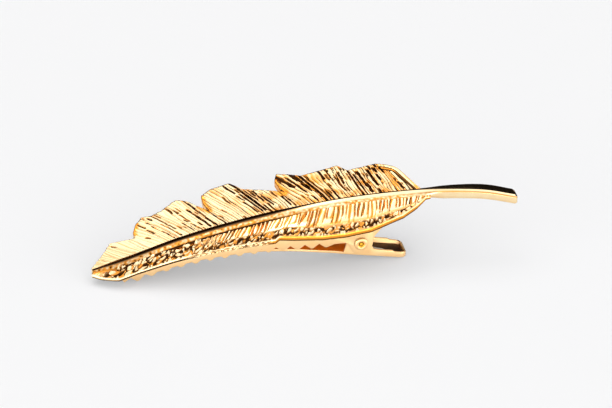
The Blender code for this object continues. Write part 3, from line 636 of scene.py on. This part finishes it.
def rod_mesh():
    """The rachis and quill as one closed mesh, with a softly rounded end."""
    last_ring = FEATHER_LENGTH - QUILL_END_ROUND
    x = np.linspace(ROD_STEP, last_ring, round(last_ring / ROD_STEP))
    x = np.append(x, (FEATHER_LENGTH - 0.08, FEATHER_LENGTH))
    along = smooth(*MIDDLE_FROM, x)
    bare = smooth(*QUILL_FROM, x)
    slight = 0.5 + 0.5 * smooth(0.0, 6.0, x)
    end = 1.0 - 0.14 * smooth(FEATHER_LENGTH - 0.4, FEATHER_LENGTH, x)
    half = np.where(x < VANE_LENGTH, 0.8, quill_half(x)) * end
    roll = bare * radians(QUILL_ROLL)
    # The band of knobs gets painted spots of warm glow and shade: darker at the tip, with dark spots up to
    # the last lobe, and paler behind.
    faded = smooth(2.0, 7.0, x)
    darker_tip = 1.0 - smooth(8.0, 16.0, x)
    paler = smooth(48.0, 58.0, x)
    sections = zip(whole_section(TIP_SECTION, BURIED_BASE), whole_section(MIDDLE_SECTION, BURIED_BASE),
                   whole_section(QUILL_SECTION, QUILL_BASE))
    columns = []
    for low, high, bared in sections:
        across, drop, *tones = (a + along * (b - a) for a, b in zip(low, high))
        across = slight * across * (1.0 - bare) + bare * bared[0] * half
        drop = slight * drop * (1.0 - bare) + bare * (bared[1] * end + (1.0 - end))
        antique_and_shade, warm_tone_and_glow, knobs = (a * (1.0 - bare) + bare * b for a, b in zip(tones, bared[2:]))
        if low[1] > LOW_ON_ROD:
            antique_and_shade = antique_and_shade * faded
        y = rachis_offset(x) + across - (0.5 * QUILL_DEPTH - drop) * np.sin(roll)
        bumps = KNOB_HEIGHT * knobs * ripple(x * 1.9, across * 2.2, 8.8)
        z = rachis_height(x) - drop + across * np.tan(roll) + bumps
        spots = ripple(x * 1.7, across * 2.0, 1.2)
        warm_tone_and_glow = np.clip(warm_tone_and_glow + knobs * ((1.7 - 0.5 * paler) * spots - 0.1 * paler), 0.0, 1.0)
        knob_shade = 0.4 * darker_tip + 0.7 * smooth(0.35, 0.5, spots) * (1.0 - paler)
        columns.append((x, y, z, np.clip(antique_and_shade + knobs * knob_shade, 0.0, 1.0), warm_tone_and_glow))
    return ringed_mesh("feather_rod", columns)


def linear(code):
    """Turn an sRGB hex colour to the linear colour, with its alpha, that Blender's sockets take."""
    parts = [int(code[i:i + 2], 16) / 255.0 for i in (1, 3, 5)]
    return (*(c / 12.92 if c <= 0.04045 else ((c + 0.055) / 1.055) ** 2.4 for c in parts), 1.0)


def node(tree, kind, settings=(), values=(), links=()):
    """Add a node with its settings, its unlinked input values and its links."""
    made = tree.nodes.new(kind)
    for name, value in dict(settings).items():
        setattr(made, name, value)
    for socket, value in dict(values).items():
        made.inputs[socket].default_value = value
    for socket, source in dict(links).items():
        tree.links.new(source, made.inputs[socket])
    return made


def metal_material(name):
    """Start a material with a fully metallic Principled shader."""
    material = bpy.data.materials.new(name)
    material.use_nodes = True
    shader = material.node_tree.nodes["Principled BSDF"]
    shader.inputs["Metallic"].default_value = 1.0
    return material, material.node_tree, shader


# Gold plating on a tumbled casting: a warm mirror broken by the casting's skin. It is pale where
# it is high. It is redder where the mesh's warmth says: partly the plating's own uneven tone, partly
# painted glow of light bouncing in grooves and under rims. It is nearly black where the mesh's
# darkness says: partly dark finish in the grooves that the polishing drum never reached, partly
# painted shade and painted dark reflections. The dark is given as matt, so ANTIQUE_AND_SHADE_EDGE
# dims what it reflects when seen edge on, which is painted shade as well.
GOLD = linear("#FCE4B4")
DEEP_GOLD = linear("#EE9A38")
ANTIQUE_AND_SHADE_BROWN = linear("#341C0C")
ANTIQUE_AND_SHADE_EDGE = linear("#DEC0AC")
WHITE = linear("#FFFFFF")
CLOUD_SIZE = 2.5 * MM
# The skin's real grain of about 0.05 mm is too fine to show, so it is drawn coarser.
SKIN_GRAIN = 0.12 * MM
# A colour mix has its two colours at these inputs, and its result at this output.
MIX_A, MIX_B, MIX_RESULT = 6, 7, 2


def gold_plated_casting():
    """Plated zinc whose darkness and warmth, partly its own and partly painted shade and glow, come from the
    mesh, with clouds and a fine skin.
    """
    material, tree, shader = metal_material("gold_plated_zinc_casting")
    place = node(tree, "ShaderNodeTexCoord").outputs["Object"]
    antique_and_shade = node(tree, "ShaderNodeAttribute", {"attribute_name": "antique_and_shade"})
    warm_tone_and_glow = node(tree, "ShaderNodeAttribute", {"attribute_name": "warm_tone_and_glow"})
    clouds = node(tree, "ShaderNodeTexNoise", values={"Scale": 1.0 / CLOUD_SIZE, "Detail": 3.0},
                  links={"Vector": place})
    uneven = node(tree, "ShaderNodeMapRange", values={"From Min": 0.35, "From Max": 0.75, "To Max": 0.16},
                  links={"Value": clouds.outputs["Fac"]})
    warm_share = node(tree, "ShaderNodeMath", {"operation": "ADD", "use_clamp": True},
                links={0: warm_tone_and_glow.outputs["Fac"], 1: uneven.outputs["Result"]})
    gold = node(tree, "ShaderNodeMix", {"data_type": "RGBA"}, {MIX_A: GOLD, MIX_B: DEEP_GOLD},
                {0: warm_share.outputs["Value"]})
    color = node(tree, "ShaderNodeMix", {"data_type": "RGBA"}, {MIX_B: ANTIQUE_AND_SHADE_BROWN},
                 {0: antique_and_shade.outputs["Fac"], MIX_A: gold.outputs[MIX_RESULT]})
    tree.links.new(color.outputs[MIX_RESULT], shader.inputs["Base Color"])
    edge = node(tree, "ShaderNodeMix", {"data_type": "RGBA"}, {MIX_A: WHITE, MIX_B: ANTIQUE_AND_SHADE_EDGE},
                {0: antique_and_shade.outputs["Fac"]})
    tree.links.new(edge.outputs[MIX_RESULT], shader.inputs["Specular Tint"])
    rough = node(tree, "ShaderNodeMapRange", values={"To Min": 0.1, "To Max": 0.22},
                 links={"Value": clouds.outputs["Fac"]})
    tree.links.new(rough.outputs["Result"], shader.inputs["Roughness"])
    skin = node(tree, "ShaderNodeTexNoise", values={"Scale": 1.0 / SKIN_GRAIN, "Detail": 2.0},
                links={"Vector": place})
    bump = node(tree, "ShaderNodeBump", values={"Strength": 0.35, "Distance": 0.02 * MM},
                links={"Height": skin.outputs["Fac"]})
    tree.links.new(bump.outputs["Normal"], shader.inputs["Normal"])
    return material


casting_gold = gold_plated_casting()
vanes = vanes_mesh()
rod = rod_mesh()
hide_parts("feather")
for piece in (vanes, rod):
    piece.data.materials.append(casting_gold)
    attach(piece, "ornament")

# Upper jaw. Sheet steel 0.55 mm thick, blanked with its teeth, folded to a channel and plated
# bright gold before riveting. The blanking rounds its edges a little, which catches the light.
EDGE_ROUND = 0.12 * MM
SHARP_EDGE = radians(32.0)
SAME_PLACE = 0.002 * MM
SAME_PLANE = radians(1.5)


def formed_copy(name, new_name):
    """Copy a CAD solid's mesh as a new piece, with its flat faces whole and its points shared."""
    mesh = frame["nodes"][name].data.copy()
    mesh.name = new_name
    mesh.materials.clear()
    bm = bmesh.new()
    bm.from_mesh(mesh)
    bmesh.ops.remove_doubles(bm, verts=bm.verts, dist=SAME_PLACE)
    bmesh.ops.dissolve_limit(bm, angle_limit=SAME_PLANE, verts=bm.verts, edges=bm.edges)
    bm.to_mesh(mesh)
    bm.free()
    mesh.shade_smooth()
    return new_piece(new_name, mesh)


def round_edges(piece, width):
    """Round a piece's sharp edges as blanking and plating leave them."""
    bevel = piece.modifiers.new("edges", "BEVEL")
    bevel.width = width
    bevel.segments = 3
    bevel.limit_method = "ANGLE"
    bevel.angle_limit = SHARP_EDGE
    bevel.harden_normals = True


def mottled_metal(name, grain, detail, colors, roughness):
    """Start a metal whose colour and roughness vary together, by a noise of this grain."""
    material, tree, shader = metal_material(name)
    place = node(tree, "ShaderNodeTexCoord").outputs["Object"]
    mottle = node(tree, "ShaderNodeTexNoise", values={"Scale": 1.0 / grain, "Detail": detail},
                  links={"Vector": place})
    color = node(tree, "ShaderNodeMix", {"data_type": "RGBA"}, {MIX_A: colors[0], MIX_B: colors[1]},
                 {0: mottle.outputs["Fac"]})
    tree.links.new(color.outputs[MIX_RESULT], shader.inputs["Base Color"])
    rough = node(tree, "ShaderNodeMapRange", values={"To Min": roughness[0], "To Max": roughness[1]},
                 links={"Value": mottle.outputs["Fac"]})
    tree.links.new(rough.outputs["Result"], shader.inputs["Roughness"])
    return material, tree, shader, mottle


SHEET_GOLD = linear("#FEDCA8")
SHEET_GOLD_DEEP = linear("#FCC884")
ORANGE_PEEL = 0.7 * MM
# The real hairlines are too fine to show, so they are drawn coarser.
HAIRLINE = 0.05 * MM


def gold_plated_steel():
    """Plated sheet: satin, with the faint waviness and hairlines of rolled and tumbled steel."""
    material, tree, shader, _ = mottled_metal("gold_plated_sheet_steel", 6.0 * ORANGE_PEEL, 3.0,
                                              (SHEET_GOLD, SHEET_GOLD_DEEP), (0.4, 0.52))
    place = node(tree, "ShaderNodeTexCoord").outputs["Object"]
    peel = node(tree, "ShaderNodeTexNoise", values={"Scale": 1.0 / ORANGE_PEEL, "Detail": 1.0},
                links={"Vector": place})
    lines = node(tree, "ShaderNodeTexNoise", values={"Scale": 1.0 / HAIRLINE, "Detail": 1.0},
                 links={"Vector": place})
    waves = node(tree, "ShaderNodeBump", values={"Strength": 0.3, "Distance": 0.02 * MM},
                 links={"Height": peel.outputs["Fac"]})
    bump = node(tree, "ShaderNodeBump", values={"Strength": 0.1, "Distance": 0.004 * MM},
                links={"Height": lines.outputs["Fac"], "Normal": waves.outputs["Normal"]})
    tree.links.new(bump.outputs["Normal"], shader.inputs["Normal"])
    return material


# Faces inside the channel are painted a deeper orange, as the glow of light bouncing between the
# jaws. They are the ones whose normal points in or down by at least this much.
INSIDE_GLOW_GOLD = linear("#FFCA4C")
INSIDE_GLOW_DEEP = linear("#FFB834")
FACE_IN = 0.6
# Where each material stands in the list of materials of the jaws and the rivet.
BRIGHT, INSIDE, PAINTED_DARK = 0, 1, 2


def painted_inside_glow():
    """Painted glow inside the channel: a deeper colour, and rough enough to glow all over."""
    return mottled_metal("painted_glow_inside_channel", 3.0 * ORANGE_PEEL, 3.0,
                         (INSIDE_GLOW_GOLD, INSIDE_GLOW_DEEP), (0.45, 0.6))[0]


sheet_gold = gold_plated_steel()
inside_glow = painted_inside_glow()
upper = formed_copy("upper_jaw", "upper_jaw_sheet")
for material in (sheet_gold, inside_glow):
    upper.data.materials.append(material)
# Faces that point into the channel or down take the painted glow.
for face in upper.data.polygons:
    inward = -face.normal.y * np.sign(face.center.y - hinge.y)
    if inward > FACE_IN or face.normal.z < -FACE_IN:
        face.material_index = INSIDE
round_edges(upper, EDGE_ROUND)
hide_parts("upper_jaw")
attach(upper, "ornament")

# Lower jaw. The same sheet, pressed to a tray: strip, inner ears and thumb lever in one piece.
# It hangs on the rivet between the upper jaw's ears and turns on it. Places are from the hinge.
RIM_ROUND = 0.24 * MM
RIM_LEAST_HEIGHT = 0.5 * MM
RIM_CORNER = radians(50.0)
TRAY_START = 1.6 * MM
TRAY_FLOOR = -2.48 * MM
FLOOR_BAND = 0.1 * MM
STRIP_END = -2.0 * MM
LEVEL = 0.9
# The tray's floor slopes, and this is its normal.
LEVER_UP = Vector((0.1616, 0.0, 0.9869))
PAINTED_DARK_BROWN = linear("#5A3E26")
PAINTED_DARK_BLACK = linear("#2A1A0E")
DARK_MOTTLE_GRAIN = 0.35 * MM


def painted_dark_shade():
    """Painted dark reflection and shade: brown and mottled, for the tray's floor and the rivet's foot."""
    return mottled_metal("painted_dark_reflection_and_shade", DARK_MOTTLE_GRAIN, 4.0, (PAINTED_DARK_BROWN, PAINTED_DARK_BLACK), (0.25, 0.5))[0]


def lever_rim(bm):
    """The top corners of the lever's raised rim."""
    rim = []
    for edge in bm.edges:
        middle = (edge.verts[0].co + edge.verts[1].co) / 2.0 - hinge
        high = LEVER_UP.dot(middle) > TRAY_FLOOR + RIM_LEAST_HEIGHT
        level = max(face.normal.z for face in edge.link_faces) > LEVEL
        if middle.x > TRAY_START and high and level and edge.is_convex:
            if edge.calc_face_angle() > RIM_CORNER:
                rim.append(edge)
    return rim


def finish_lever(piece):
    """Roll the edges of the lever's raised rim, and paint a dark reflection on the tray's floor and the glow
    on the strip.
    """
    bm = bmesh.new()
    bm.from_mesh(piece.data)
    bmesh.ops.bisect_plane(bm, geom=bm.verts[:] + bm.edges[:] + bm.faces[:], plane_no=(1.0, 0.0, 0.0),
                           plane_co=hinge + Vector((TRAY_START, 0.0, 0.0)))
    # The tray's floor takes the painted dark reflection, and the strip's flat faces take the painted glow.
    for face in bm.faces:
        middle = face.calc_center_bounds() - hinge
        on_floor = abs(LEVER_UP.dot(middle) - TRAY_FLOOR) < FLOOR_BAND
        if face.normal.z > LEVEL and middle.x > TRAY_START and on_floor:
            face.material_index = PAINTED_DARK
        elif abs(face.normal.z) > FACE_IN and middle.x < STRIP_END:
            face.material_index = INSIDE
    bmesh.ops.bevel(bm, geom=lever_rim(bm), offset=RIM_ROUND, segments=4, profile=0.5, affect="EDGES",
                    clamp_overlap=False, material=BRIGHT)
    bm.to_mesh(piece.data)
    bm.free()
    piece.data.shade_smooth()


painted_dark_metal = painted_dark_shade()
lower = formed_copy("lower_jaw", "lower_jaw_sheet")
for material in (sheet_gold, inside_glow, painted_dark_metal):
    lower.data.materials.append(material)
finish_lever(lower)
round_edges(lower, EDGE_ROUND)
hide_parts("lower_jaw")
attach(lower, "lower_jaw")

# Hinge rivet. A plated steel pin, its ends rolled over by a spinning tool, which leaves a rim,
# a ring-shaped hollow and a small dome in the middle. The shank and the head's foot are painted dark
# as the shadow line round the head, and the hollow is painted with the channel's warm glow.
RIVET_RADIUS = 0.72
RIVET_HEAD_RADIUS = 1.4
RIVET_HEAD_HEIGHT = 0.42
RIVET_SEAT = 3.65
RIVET_SIDES = 64
RIVET_CORNER = radians(50.0)
# The head's profile from its seat out: shares of its height and of its radius.
RIVET_PROFILE = ((0.0, 0.96), (0.1, 0.99), (0.3, 1.0), (0.52, 0.97), (0.75, 0.89), (0.92, 0.78), (1.0, 0.66),
                 (0.94, 0.55), (0.75, 0.47), (0.45, 0.41), (0.25, 0.36), (0.2, 0.22), (0.32, 0.08))
# The painted shadow reaches this share of the head's height, and the painted glow in the hollow
# this share of its radius.
SHANK_SHARE = 0.25
HOLLOW_SHARE = 0.5


def rivet_mesh():
    """The rivet turned round its axis through the hinge."""
    half = [(RIVET_SEAT, RIVET_RADIUS)]
    for height, radius in RIVET_PROFILE:
        half.append((RIVET_SEAT + height * RIVET_HEAD_HEIGHT, radius * RIVET_HEAD_RADIUS))
    angles = np.linspace(0.0, 2.0 * pi, RIVET_SIDES, endpoint=False)
    points = []
    for y, radius in [(-y, radius) for y, radius in reversed(half)] + half:
        for a in angles:
            points.append(hinge + Vector((radius * cos(a), y, radius * sin(a))) * MM)
    return new_mesh("hinge_rivet_turned", points, grid_faces(2 * len(half), RIVET_SIDES))


rivet = rivet_mesh()
rivet.data.set_sharp_from_angle(angle=RIVET_CORNER)
for material in (sheet_gold, inside_glow, painted_dark_metal):
    rivet.data.materials.append(material)
for face in rivet.data.polygons:
    out = (face.center - hinge) / MM
    # The head's foot takes the painted shadow, and the hollow takes the painted glow.
    if abs(out.y) < RIVET_SEAT + SHANK_SHARE * RIVET_HEAD_HEIGHT:
        face.material_index = PAINTED_DARK
    elif hypot(out.x, out.z) < HOLLOW_SHARE * RIVET_HEAD_RADIUS:
        face.material_index = INSIDE
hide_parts("hinge_rivet")
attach(rivet, "ornament")

# Torsion spring. Hard-drawn steel wire 0.6 mm thick, wound on the rivet, oiled and left bare.
# One leg presses the lever down and the other the upper jaw's tail up.
WIRE_GREY = linear("#B9B4AB")
WIRE_DARK = linear("#8B857A")
# The lines that the drawing die leaves are too fine to show, so they are drawn coarser.
DRAW_LINES = 0.08 * MM


def grained_metal(name, grain, detail, colors, roughness, strength, height):
    """Make a mottled metal whose mottling is also felt as a slight relief."""
    material, tree, shader, mottle = mottled_metal(name, grain, detail, colors, roughness)
    bump = node(tree, "ShaderNodeBump", values={"Strength": strength, "Distance": height},
                links={"Height": mottle.outputs["Fac"]})
    tree.links.new(bump.outputs["Normal"], shader.inputs["Normal"])
    return material


def drawn_steel_wire():
    """Drawn wire: grey, half bright, with fine lines and a thin film of oil."""
    return grained_metal("drawn_spring_steel", DRAW_LINES, 2.0, (WIRE_GREY, WIRE_DARK), (0.22, 0.42),
                         strength=0.2, height=0.01 * MM)


def softened_copy(name, new_name, material):
    """A copy of a CAD solid with its facets smoothed by one subdivision, applied to its mesh."""
    faceted = formed_copy(name, new_name + "_rough")
    soften = faceted.modifiers.new("round", "SUBSURF")
    soften.levels = 1
    soften.render_levels = 1
    depsgraph = bpy.context.evaluated_depsgraph_get()
    mesh = bpy.data.meshes.new_from_object(faceted.evaluated_get(depsgraph))
    bpy.data.objects.remove(faceted)
    mesh.name = new_name
    mesh.materials.clear()
    mesh.materials.append(material)
    return new_piece(new_name, mesh)


spring = softened_copy("torsion_spring", "torsion_spring_wire", drawn_steel_wire())
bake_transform(spring)
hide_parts("torsion_spring")

# Solder. Two joints of tin solder run in between the jaw's back and the casting, frosty where
# they cooled, with a smooth hollow side where the solder drew up to the gold.
SOLDER_GREY = linear("#C9C6BE")
SOLDER_DULL = linear("#97948C")
SOLDER_ROUND = 0.12 * MM
FROST = 0.25 * MM


def tin_solder():
    """Cooled solder: pale grey with a frosty grain that spreads its reflections."""
    return grained_metal("cooled_tin_solder", FROST, 4.0, (SOLDER_GREY, SOLDER_DULL), (0.3, 0.55),
                         strength=0.4, height=0.03 * MM)


frosted_solder = tin_solder()
for name in ("solder_front", "solder_rear"):
    joint = formed_copy(name, name + "_run")
    joint.data.materials.append(frosted_solder)
    round_edges(joint, SOLDER_ROUND)
    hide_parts(name)
    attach(joint, "ornament")

# Table. A plain, pale, matt top of opal acrylic that runs past every view. It is lit a little from
# below, as such tops are for small bright goods, which keeps the shadows pale.
TABLE_WHITE = linear("#BBBBBC")
TABLE_GLOW = 0.34
TABLE_REACH = 6.0

bpy.ops.mesh.primitive_circle_add(vertices=96, radius=TABLE_REACH, fill_type="NGON")
table = bpy.context.object
table.name = "table_top"
acrylic = bpy.data.materials.new("opal_acrylic_table")
acrylic.use_nodes = True
acrylic_shader = acrylic.node_tree.nodes["Principled BSDF"]
acrylic_shader.inputs["Base Color"].default_value = TABLE_WHITE
acrylic_shader.inputs["Roughness"].default_value = 0.6
acrylic_shader.inputs["Emission Strength"].default_value = TABLE_GLOW
table.data.materials.append(acrylic)

# Light. A white studio tent and one soft lamp above. On the far side the tent is bright from high
# up to overhead, over a dark gap that draws the black lines on the gold. On the near side it is
# even, and brighter low down, where the sheet's sides and the near rim look. Heights are sines.
SKY_BRIGHT = 2.2
SKY_OVERHEAD = 2.0
SKY_NEAR = 1.4
SKY_NEAR_LOW = 4.8
GAP_DARK = 0.04
GAP_TOP_LOW = sin(radians(41.0))
GAP_TOP_HIGH = sin(radians(45.5))
BRIGHT_TOP_LOW = sin(radians(56.0))
BRIGHT_TOP_HIGH = sin(radians(62.0))
NEAR_LOW_TOP = sin(radians(14.0))
NEAR_LOW_END = sin(radians(26.0))
SIDES_MEET = 0.12
LAMP_SIDE = 0.08
LAMP_WATTS = 0.13
LAMP_PLACE = Vector((-0.02, 0.22, 0.55))
# A number mix has its two numbers at these inputs, and its result at this output.
NUMBER_A, NUMBER_B, NUMBER_RESULT = 2, 3, 0

world = bpy.data.worlds.new("studio_tent")
bpy.context.scene.world = world
world.use_nodes = True
sky = world.node_tree
sky.nodes.clear()
direction = node(sky, "ShaderNodeTexCoord")
parts = node(sky, "ShaderNodeSeparateXYZ", links={0: direction.outputs["Generated"]})
height = parts.outputs["Z"]
soft_step = {"interpolation_type": "SMOOTHSTEP"}
above = node(sky, "ShaderNodeMapRange", soft_step,
             {"From Min": GAP_TOP_LOW, "From Max": GAP_TOP_HIGH, "To Min": GAP_DARK, "To Max": SKY_BRIGHT},
             {"Value": height})
overhead = node(sky, "ShaderNodeMapRange", soft_step,
                {"From Min": BRIGHT_TOP_LOW, "From Max": BRIGHT_TOP_HIGH}, {"Value": height})
far_side = node(sky, "ShaderNodeMix", {"data_type": "FLOAT"}, {NUMBER_B: SKY_OVERHEAD},
                {0: overhead.outputs["Result"], NUMBER_A: above.outputs["Result"]})
near_side = node(sky, "ShaderNodeMapRange", soft_step,
                 {"From Min": SIDES_MEET, "From Max": -SIDES_MEET}, {"Value": parts.outputs["Y"]})
near_glow = node(sky, "ShaderNodeMapRange", soft_step,
                 {"From Min": NEAR_LOW_TOP, "From Max": NEAR_LOW_END,
                  "To Min": SKY_NEAR_LOW, "To Max": SKY_NEAR},
                 {"Value": height})
glow = node(sky, "ShaderNodeMix", {"data_type": "FLOAT"},
            links={0: near_side.outputs["Result"], NUMBER_A: far_side.outputs[NUMBER_RESULT],
                   NUMBER_B: near_glow.outputs["Result"]})
background = node(sky, "ShaderNodeBackground", links={"Strength": glow.outputs[NUMBER_RESULT]})
node(sky, "ShaderNodeOutputWorld", links={"Surface": background.outputs["Background"]})

lamp_data = bpy.data.lights.new("soft_lamp", "AREA")
lamp_data.size = LAMP_SIDE
lamp_data.energy = LAMP_WATTS
lamp = new_piece("soft_lamp", lamp_data)
lamp.location = LAMP_PLACE
lamp.rotation_euler = LAMP_PLACE.to_track_quat("Z", "Y").to_euler()

# Camera. A 100 mm lens, 28 degrees above the table and 10 degrees to the left of square on. It
# aims at a point beside the clip, which puts the clip where the photograph has it.
CAMERA_AZIMUTH = radians(-10.0)
CAMERA_ELEVATION = radians(28.0)
CAMERA_DISTANCE = 0.374
LENS = 100.0
SENSOR_WIDTH = 36.0

aim = tip + Vector((48.4, 23.2, 0.6)) * MM
camera_data = bpy.data.cameras.new("camera")
camera_data.lens = LENS
camera_data.sensor_width = SENSOR_WIDTH
camera = new_piece("camera", camera_data)
level = cos(CAMERA_ELEVATION)
back = Vector((level * sin(CAMERA_AZIMUTH), -level * cos(CAMERA_AZIMUTH), sin(CAMERA_ELEVATION)))
camera.location = aim + back * CAMERA_DISTANCE
camera.rotation_euler = back.to_track_quat("Z", "Y").to_euler()
scene = bpy.context.scene
scene.camera = camera
scene.view_settings.view_transform = "Standard"

# Light has to cross between the jaws many times before it comes out through the teeth. The light
# spots that polished metal throws on a table are left out, because the soft tent shows none.
scene.cycles.glossy_bounces = 12
scene.cycles.caustics_reflective = False
